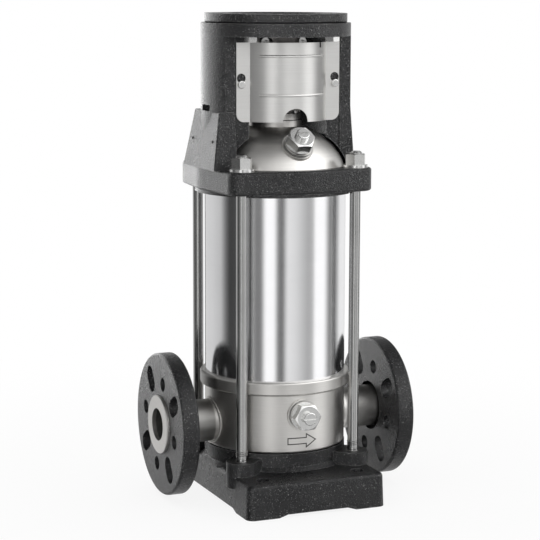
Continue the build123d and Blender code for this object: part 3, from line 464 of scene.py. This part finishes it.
# ---------------------------------------------------------------- studio and camera
@dataclass
class Studio:
    """Pale floor, soft lamps and a surround whose bright and dark upright panels show in the metal."""

    view_azimuth: float = 22.79
    aim_height: float = 0.24
    floor_radius: float = 0.95
    floor_colour: Colour = (0.90, 0.90, 0.90)
    floor_stops: Stops = field(default_factory=lambda: [(0.22, grey(0.87)), (0.75, grey(1.0))])
    panel_stops: list[tuple[float, float]] = field(default_factory=lambda: [
        (-180, 0.72), (-125, 0.70), (-100, 0.58), (-88, 0.18), (-80, 0.05), (-66, 0.06), (-58, 0.26),
        (-40, 0.28), (-22, 0.20), (-15, 1.2), (-1, 1.2), (5, 0.22), (13, 0.14), (20, 0.92),
        (34, 0.80), (56, 0.46), (65, 0.55), (69, 1.2), (88, 1.2), (98, 0.35), (108, 0.14),
        (120, 0.30), (132, 0.95), (148, 0.95), (180, 0.72),
    ])
    loft_stops: list[tuple[float, float]] = field(default_factory=lambda: [
        (-180, 0.30), (-100, 0.22), (-50, 0.34), (-10, 0.80), (20, 1.30), (45, 2.0), (95, 2.3),
        (125, 0.60), (150, 0.30), (180, 0.30),
    ])
    loft_range: tuple[float, float] = (0.12, 0.34)
    top_range: tuple[float, float] = (0.72, 0.97)
    top_level: float = 0.12
    fill_level: float = 0.95
    lamp_slots: tuple[str, ...] = ("cast_black", "seal_rubber")
    lit: bpy.types.Collection | None = None

    def build(self) -> None:
        """Makes the surround, the floor and the lamps."""
        self.lit = bpy.data.collections.new("painted_and_rubber")
        for entry in frame["record"]["subparts"]:
            if entry["material_slot"] in self.lamp_slots:
                self.lit.objects.link(frame["nodes"][entry["node"]])
        self.surround()
        self.floor()
        self.lamp("lamp_left", azimuth=-142, elevation=10, distance=2.2, size=(2.0, 1.9), watts=34)
        self.lamp("lamp_right", azimuth=82, elevation=14, distance=2.2, size=(0.3, 1.2), watts=18)
        self.lamp("lamp_front", azimuth=-9, elevation=4, distance=2.4, size=(0.16, 1.4), watts=36)

    def surround(self) -> None:
        """Makes the world: white behind the object, upright panels in reflections, even fill elsewhere."""
        world = bpy.data.worlds.new("studio")
        bpy.context.scene.world = world
        world.use_nodes = True
        tree = world.node_tree
        tree.nodes.clear()
        direction = add_node(tree, "ShaderNodeTexCoord").outputs["Generated"]
        parts = add_node(tree, "ShaderNodeSeparateXYZ")
        tree.links.new(direction, parts.inputs[0])
        x, y, z = parts.outputs
        angle = math_node(tree, "ARCTAN2", x, math_node(tree, "MULTIPLY", y, -1.0))
        turned = math_node(tree, "ADD", angle, math.radians(self.view_azimuth))
        wrapped = math_node(tree, "WRAP", turned, math.pi, -math.pi)
        share = math_node(tree, "MULTIPLY_ADD", wrapped, 0.5 / math.pi, 0.5)
        panels = self.round_view(tree, share, self.panel_stops)
        loft = self.round_view(tree, share, self.loft_stops)
        lifted = mix_colour(tree, self.rise(tree, z, self.loft_range), panels, loft)
        mixed = mix_colour(tree, self.rise(tree, z, self.top_range), lifted, grey(self.top_level))
        path = add_node(tree, "ShaderNodeLightPath")
        glossy = mix_colour(tree, path.outputs["Is Glossy Ray"], grey(self.fill_level), mixed)
        seen = mix_colour(tree, path.outputs["Is Camera Ray"], glossy, WHITE)
        background = add_node(tree, "ShaderNodeBackground")
        output = add_node(tree, "ShaderNodeOutputWorld")
        tree.links.new(seen, background.inputs["Color"])
        tree.links.new(background.outputs[0], output.inputs[0])

    def round_view(
        self, tree: bpy.types.NodeTree, share: bpy.types.NodeSocket, levels: list[tuple[float, float]]
    ) -> bpy.types.NodeSocket:
        """Spreads brightness levels round the horizon.

        Args:
            tree: The world's node tree.
            share: The direction as 0 to 1, once round from behind the object.
            levels: Degrees from the camera's side and the level there, in order.

        Returns:
            The colour socket.
        """
        return ramp_node(tree, share, [((degrees + 180) / 360, grey(level)) for degrees, level in levels])

    def rise(
        self, tree: bpy.types.NodeTree, z: bpy.types.NodeSocket, limits: tuple[float, float]
    ) -> bpy.types.NodeSocket:
        """Fades from 0 to 1 with the upward part of a direction.

        Args:
            tree: The world's node tree.
            z: The upward part of the direction.
            limits: Where the fade starts and ends.

        Returns:
            The fade's colour socket.
        """
        return ramp_node(tree, z, list(zip(limits, (grey(0.0), grey(1.0)))))

    def floor(self) -> None:
        """Makes a round pale floor that fades to plain white at its rim."""
        mesh = bmesh.new()
        bmesh.ops.create_circle(mesh, cap_ends=True, segments=96, radius=self.floor_radius)
        floor = finish_piece(mesh, "floor", self.floor_material())

    def floor_material(self) -> bpy.types.Material:
        """Makes the floor's material.

        Returns:
            A pale matt material that keeps a soft shadow near the middle.
        """
        material = bpy.data.materials.new("floor_pale")
        material.use_nodes = True
        tree = material.node_tree
        tree.nodes.clear()
        coords = add_node(tree, "ShaderNodeTexCoord").outputs["Object"]
        length = add_node(tree, "ShaderNodeVectorMath", operation="LENGTH")
        tree.links.new(coords, length.inputs[0])
        share = math_node(tree, "DIVIDE", length.outputs["Value"], self.floor_radius)
        fade = ramp_node(tree, share, self.floor_stops, "EASE")
        path = add_node(tree, "ShaderNodeLightPath")
        matt = add_node(tree, "ShaderNodeBsdfDiffuse", in_Color=(*self.floor_colour, 1.0))
        glow = add_node(tree, "ShaderNodeEmission", in_Strength=1.0)
        mix = add_node(tree, "ShaderNodeMixShader")
        tree.links.new(math_node(tree, "MULTIPLY", fade, path.outputs["Is Camera Ray"]), mix.inputs[0])
        tree.links.new(matt.outputs[0], mix.inputs[1])
        tree.links.new(glow.outputs[0], mix.inputs[2])
        clear = add_node(tree, "ShaderNodeBsdfTransparent")
        open_to_gloss = add_node(tree, "ShaderNodeMixShader")
        tree.links.new(path.outputs["Is Glossy Ray"], open_to_gloss.inputs[0])
        tree.links.new(mix.outputs[0], open_to_gloss.inputs[1])
        tree.links.new(clear.outputs[0], open_to_gloss.inputs[2])
        output = add_node(tree, "ShaderNodeOutputMaterial")
        tree.links.new(open_to_gloss.outputs[0], output.inputs["Surface"])
        return material

    def lamp(
        self, name: str, azimuth: float, elevation: float, distance: float, size: tuple[float, float],
        watts: float,
    ) -> None:
        """Hangs one soft lamp round the object, facing its middle.

        Args:
            name: The lamp's name.
            azimuth: Degrees to the right of the camera's side of the object.
            elevation: Degrees above the horizon.
            distance: Metres from the object's middle.
            size: Width and height of the panel in metres.
            watts: The lamp's power.
        """
        data = bpy.data.lights.new(name, "AREA")
        data.shape = "RECTANGLE"
        data.size, data.size_y = size
        data.energy = watts
        lamp = bpy.data.objects.new(name, data)
        bpy.context.scene.collection.objects.link(lamp)
        turn = math.radians(azimuth - self.view_azimuth)
        rise = math.radians(elevation)
        back = Vector((math.sin(turn) * math.cos(rise), -math.cos(turn) * math.cos(rise), math.sin(rise)))
        lamp.location = Vector((0.0, 0.0, self.aim_height)) + back * distance
        lamp.rotation_euler = back.to_track_quat("Z", "Y").to_euler()
        lamp.visible_camera = False
        lamp.light_linking.receiver_collection = self.lit
        log.info("lamp %s", name)


@dataclass
class Viewpoint:
    """The camera, level with the upper half of the pump and slightly to its inlet side."""

    distance: float = 1.8197
    azimuth: float = 22.7937
    height: float = 0.50545
    pitch: float = 8.8663
    roll: float = 0.1643
    yaw: float = -0.1549
    sensor: float = 36.0
    focal: float = 123.0173

    def build(self) -> None:
        """Makes the camera and makes it the scene's own."""
        heading = math.radians(self.azimuth + self.yaw)
        dip = math.radians(self.pitch)
        ahead = Vector((math.sin(heading) * math.cos(dip), math.cos(heading) * math.cos(dip), -math.sin(dip)))
        right = Vector((math.cos(heading), -math.sin(heading), 0.0))
        up = right.cross(ahead)
        lean = math.radians(self.roll)
        side = right * math.cos(lean) + up * math.sin(lean)
        top = up * math.cos(lean) - right * math.sin(lean)
        data = bpy.data.cameras.new("camera")
        data.sensor_width = self.sensor
        data.lens = self.focal
        data.clip_start, data.clip_end = 0.05, 50.0
        camera = bpy.data.objects.new("camera", data)
        bpy.context.scene.collection.objects.link(camera)
        turn = math.radians(self.azimuth)
        place = Vector((-self.distance * math.sin(turn), -self.distance * math.cos(turn), self.height))
        axes = Matrix((side, top, -ahead)).transposed().to_4x4()
        camera.matrix_world = Matrix.Translation(place) @ axes
        bpy.context.scene.camera = camera
        log.info("camera %.1f mm lens", self.focal)


# ---------------------------------------------------------------- mesh helpers
def finish_piece(
    mesh: bmesh.types.BMesh, name: str, material: bpy.types.Material, smooth: bool = True
) -> bpy.types.Object:
    """Turns a bmesh into an object at the origin and gives it its material.

    Args:
        mesh: The finished bmesh, which is freed.
        name: The piece's name.
        material: Its material.
        smooth: Whether its faces are shaded smooth.

    Returns:
        The new object.
    """
    bmesh.ops.recalc_face_normals(mesh, faces=mesh.faces)
    for face in mesh.faces:
        face.smooth = smooth
    data = bpy.data.meshes.new(name)
    mesh.to_mesh(data)
    mesh.free()
    data.materials.append(material)
    piece = bpy.data.objects.new(name, data)
    bpy.context.scene.collection.objects.link(piece)
    return piece


def add_ring(
    mesh: bmesh.types.BMesh, radius: float, wire: float, sides: int = 8, steps: int = 72
) -> list[bmesh.types.BMVert]:
    """Adds a closed round ring about Z at the origin.

    Args:
        mesh: The bmesh to add to.
        radius: Radius of the ring's centre line.
        wire: Radius of its section.
        sides: Sides of the section.
        steps: Steps round the ring.

    Returns:
        The ring's vertices.
    """
    before = set(mesh.verts)
    place = Matrix.Translation((radius, 0.0, 0.0)) @ Matrix.Rotation(math.radians(90), 4, "X")
    section = bmesh.ops.create_circle(mesh, segments=sides, radius=wire, matrix=place)["verts"]
    edges = list({edge for vert in section for edge in vert.link_edges})
    bmesh.ops.spin(
        mesh, geom=section + edges, cent=(0, 0, 0), axis=(0, 0, 1), angle=2 * math.pi, steps=steps,
        use_merge=True,
    )
    return [vert for vert in mesh.verts if vert not in before]


def add_thread(
    mesh: bmesh.types.BMesh, place: Vector, core: float, crest: float, pitch: float, turns: float,
    steps_per_turn: int = 24,
) -> None:
    """Adds one helical thread crest about an upright line.

    Args:
        mesh: The bmesh to add to.
        place: The foot of the thread on its axis.
        core: Radius where the crest's flanks start.
        crest: Radius of its top.
        pitch: Rise of one turn.
        turns: Number of turns.
        steps_per_turn: Facets round one turn.
    """
    wire = (crest - core) / 1.5
    start = place + Vector((core + wire / 2, 0.0, 0.0))
    turn = Matrix.Rotation(math.radians(90), 4, "X") @ Matrix.Rotation(math.radians(-90), 4, "Z")
    section = bmesh.ops.create_circle(
        mesh, cap_ends=True, segments=3, radius=wire, matrix=Matrix.Translation(start) @ turn
    )["verts"]
    face = list({face for vert in section for face in vert.link_faces})
    bmesh.ops.spin(
        mesh, geom=face, cent=place, axis=(0, 0, 1), angle=2 * math.pi * turns,
        steps=round(turns * steps_per_turn), dvec=(0, 0, pitch / steps_per_turn),
    )


# ---------------------------------------------------------------- thin details
@dataclass
class StayboltThreads:
    """Rolled thread that shows above the foot's ears and above the top nuts."""

    inset: float = 59.5 * MM
    core: float = 5.2 * MM
    crest: float = 6.0 * MM
    pitch: float = 1.75 * MM
    foot_turns: float = 3.0
    tip_core: float = 5.9 * MM
    tip_crest: float = 6.2 * MM
    tip_pitch: float = 0.8 * MM
    tip_turns: float = 1.0
    tip_drop: float = 2.3 * MM
    foot_gap: float = 0.2 * MM

    def build(self, finishes: dict[str, bpy.types.Material]) -> None:
        """Makes the thread crests of all four bolts.

        Args:
            finishes: The materials by name.
        """
        ear_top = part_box("base_plate")[1].z
        bolt_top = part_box("staybolts")[1].z
        mesh = bmesh.new()
        for x in (-self.inset, self.inset):
            for y in (-self.inset, self.inset):
                foot = Vector((x, y, ear_top + self.foot_gap))
                add_thread(mesh, foot, self.core, self.crest, self.pitch, self.foot_turns)
                tip = Vector((x, y, bolt_top - self.tip_drop))
                add_thread(mesh, tip, self.tip_core, self.tip_crest, self.tip_pitch, self.tip_turns)
        add_detail(mesh, "staybolt_threads", finishes["rod_steel"], smooth=False)


@dataclass
class PipeWelds:
    """Narrow weld seams where the pipes enter the chamber."""

    pipe_r: float = 21.0 * MM
    chamber_r: float = 70.0 * MM
    port_z: float = 75.0 * MM
    bead: float = 1.3 * MM
    stand_off: float = 1.1 * MM
    flattening: float = 0.6

    def build(self, finishes: dict[str, bpy.types.Material]) -> None:
        """Makes both seams.

        Args:
            finishes: The materials by name.
        """
        mesh = bmesh.new()
        for side in (-1, 1):
            verts = add_ring(mesh, self.pipe_r + self.stand_off, self.bead)
            bmesh.ops.rotate(mesh, verts=verts, matrix=Matrix.Rotation(math.radians(90), 3, "Y"))
            for vert in verts:
                fall = math.sqrt(self.chamber_r ** 2 - vert.co.y ** 2)
                vert.co.x = vert.co.x * self.flattening + side * (fall + self.stand_off / 2)
            bmesh.ops.translate(mesh, verts=verts, vec=(0, 0, self.port_z))
        add_detail(mesh, "pipe_weld_seams", finishes["stainless_satin"])


@dataclass
class FlowArrow:
    """Outline of a block arrow etched on the chamber, from the inlet to the outlet."""

    drum_r: float = 70.0 * MM
    middle_z: float = 63.0 * MM
    tail: float = -15.0 * MM
    neck: float = 4.0 * MM
    tip: float = 16.0 * MM
    shaft_half: float = 3.5 * MM
    head_half: float = 7.5 * MM
    line: float = 1.0 * MM
    sunk: float = 0.1 * MM
    proud: float = 0.15 * MM
    longest_edge: float = 1.5 * MM
    halvings: int = 3

    def build(self, finishes: dict[str, bpy.types.Material]) -> None:
        """Makes the arrow.

        Args:
            finishes: The materials by name.
        """
        mesh = bmesh.new()
        half, head = self.shaft_half, self.head_half
        corners = [
            (self.tail, -half), (self.neck, -half), (self.neck, -head), (self.tip, 0.0),
            (self.neck, head), (self.neck, half), (self.tail, half),
        ]
        face = mesh.faces.new([mesh.verts.new((x, 0.0, z)) for x, z in corners])
        face.normal_update()
        bmesh.ops.inset_region(
            mesh, faces=[face], thickness=self.line, use_boundary=True, use_even_offset=True
        )
        bmesh.ops.delete(mesh, geom=[face], context="FACES_ONLY")
        for _ in range(self.halvings):
            long_edges = [edge for edge in mesh.edges if edge.calc_length() > self.longest_edge]
            bmesh.ops.subdivide_edges(mesh, edges=long_edges, cuts=1, use_grid_fill=True)
        bmesh.ops.triangulate(mesh, faces=mesh.faces)
        base_r = self.drum_r - self.sunk
        for vert in mesh.verts:
            angle = vert.co.x / self.drum_r
            height = vert.co.z + self.middle_z
            vert.co = Vector((base_r * math.sin(angle), -base_r * math.cos(angle), height))
        skin = bmesh.ops.extrude_face_region(mesh, geom=mesh.faces[:])["geom"]
        grown = (self.drum_r + self.proud) / base_r
        raised = [item for item in skin if isinstance(item, bmesh.types.BMVert)]
        bmesh.ops.scale(mesh, verts=raised, vec=(grown, grown, 1.0))
        add_detail(mesh, "flow_arrow", finishes["etched_steel"], smooth=False)


@dataclass
class NamePadPins:
    """Two drive pins left in the bare name pad."""

    spread: float = 27.0 * MM
    height: float = 354.0 * MM
    face_x: float = -76.85 * MM
    tilt: float = 9.4
    head_r: float = 1.5 * MM
    head_rise: float = 0.7 * MM

    def build(self, finishes: dict[str, bpy.types.Material]) -> None:
        """Makes both pins.

        Args:
            finishes: The materials by name.
        """
        mesh = bmesh.new()
        lean = Matrix.Rotation(math.radians(-90 + self.tilt), 4, "Y")
        for y in (-self.spread, self.spread):
            place = Matrix.Translation((self.face_x, y, self.height)) @ lean
            head = bmesh.ops.create_uvsphere(
                mesh, u_segments=20, v_segments=10, radius=self.head_r
            )["verts"]
            bmesh.ops.scale(mesh, verts=head, vec=(1.0, 1.0, self.head_rise / self.head_r))
            bmesh.ops.transform(mesh, verts=head, matrix=place)
        add_detail(mesh, "name_pad_pins", finishes["etched_steel"])


def add_detail(
    mesh: bmesh.types.BMesh, name: str, material: bpy.types.Material, smooth: bool = True,
    body: Body = Body.PUMP,
) -> bpy.types.Object:
    """Finishes a piece, gives it its material and lets it ride on its body.

    Args:
        mesh: The finished bmesh.
        name: The piece's name.
        material: Its material.
        smooth: Whether its faces are shaded smooth.
        body: The moving body that carries it.

    Returns:
        The new piece.
    """
    piece = finish_piece(mesh, name, material, smooth)
    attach(piece, body.value)
    log.info("piece %s on %s: %d faces", name, body.value, len(piece.data.polygons))
    return piece


# ---------------------------------------------------------------- dressing of the solids
@dataclass
class SolidPump:
    """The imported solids, each given the finish that its material slot in the record names."""

    finishes: dict[str, bpy.types.Material]
    node_slots: dict[str, str] = field(default_factory=dict)

    def read_slots(self) -> None:
        """Reads which slot each node takes its finish from."""
        for entry in frame["record"]["subparts"]:
            self.node_slots[entry["node"]] = entry["material_slot"]

    def dress(self) -> None:
        """Gives every node its material."""
        self.read_slots()
        for name, node in frame["nodes"].items():
            slot = NODE_FINISHES.get(name, self.node_slots[name])
            node.data.materials.clear()
            node.data.materials.append(self.finishes[slot])
            log.info("solid %s: %s", name, slot)


def main() -> None:
    """Builds the finishes, the pieces, the studio and the camera."""
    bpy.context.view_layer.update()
    finishes = {finish.name: finish.build() for finish in FINISHES}
    SolidPump(finishes).dress()
    for part in (StayboltThreads(), PipeWelds(), FlowArrow(), NamePadPins()):
        part.build(finishes)
    Studio().build()
    Viewpoint().build()
    bpy.context.scene.view_settings.view_transform = "Standard"


if __name__ == "__main__":
    logging.basicConfig(level=logging.INFO, format="%(message)s")
    main()
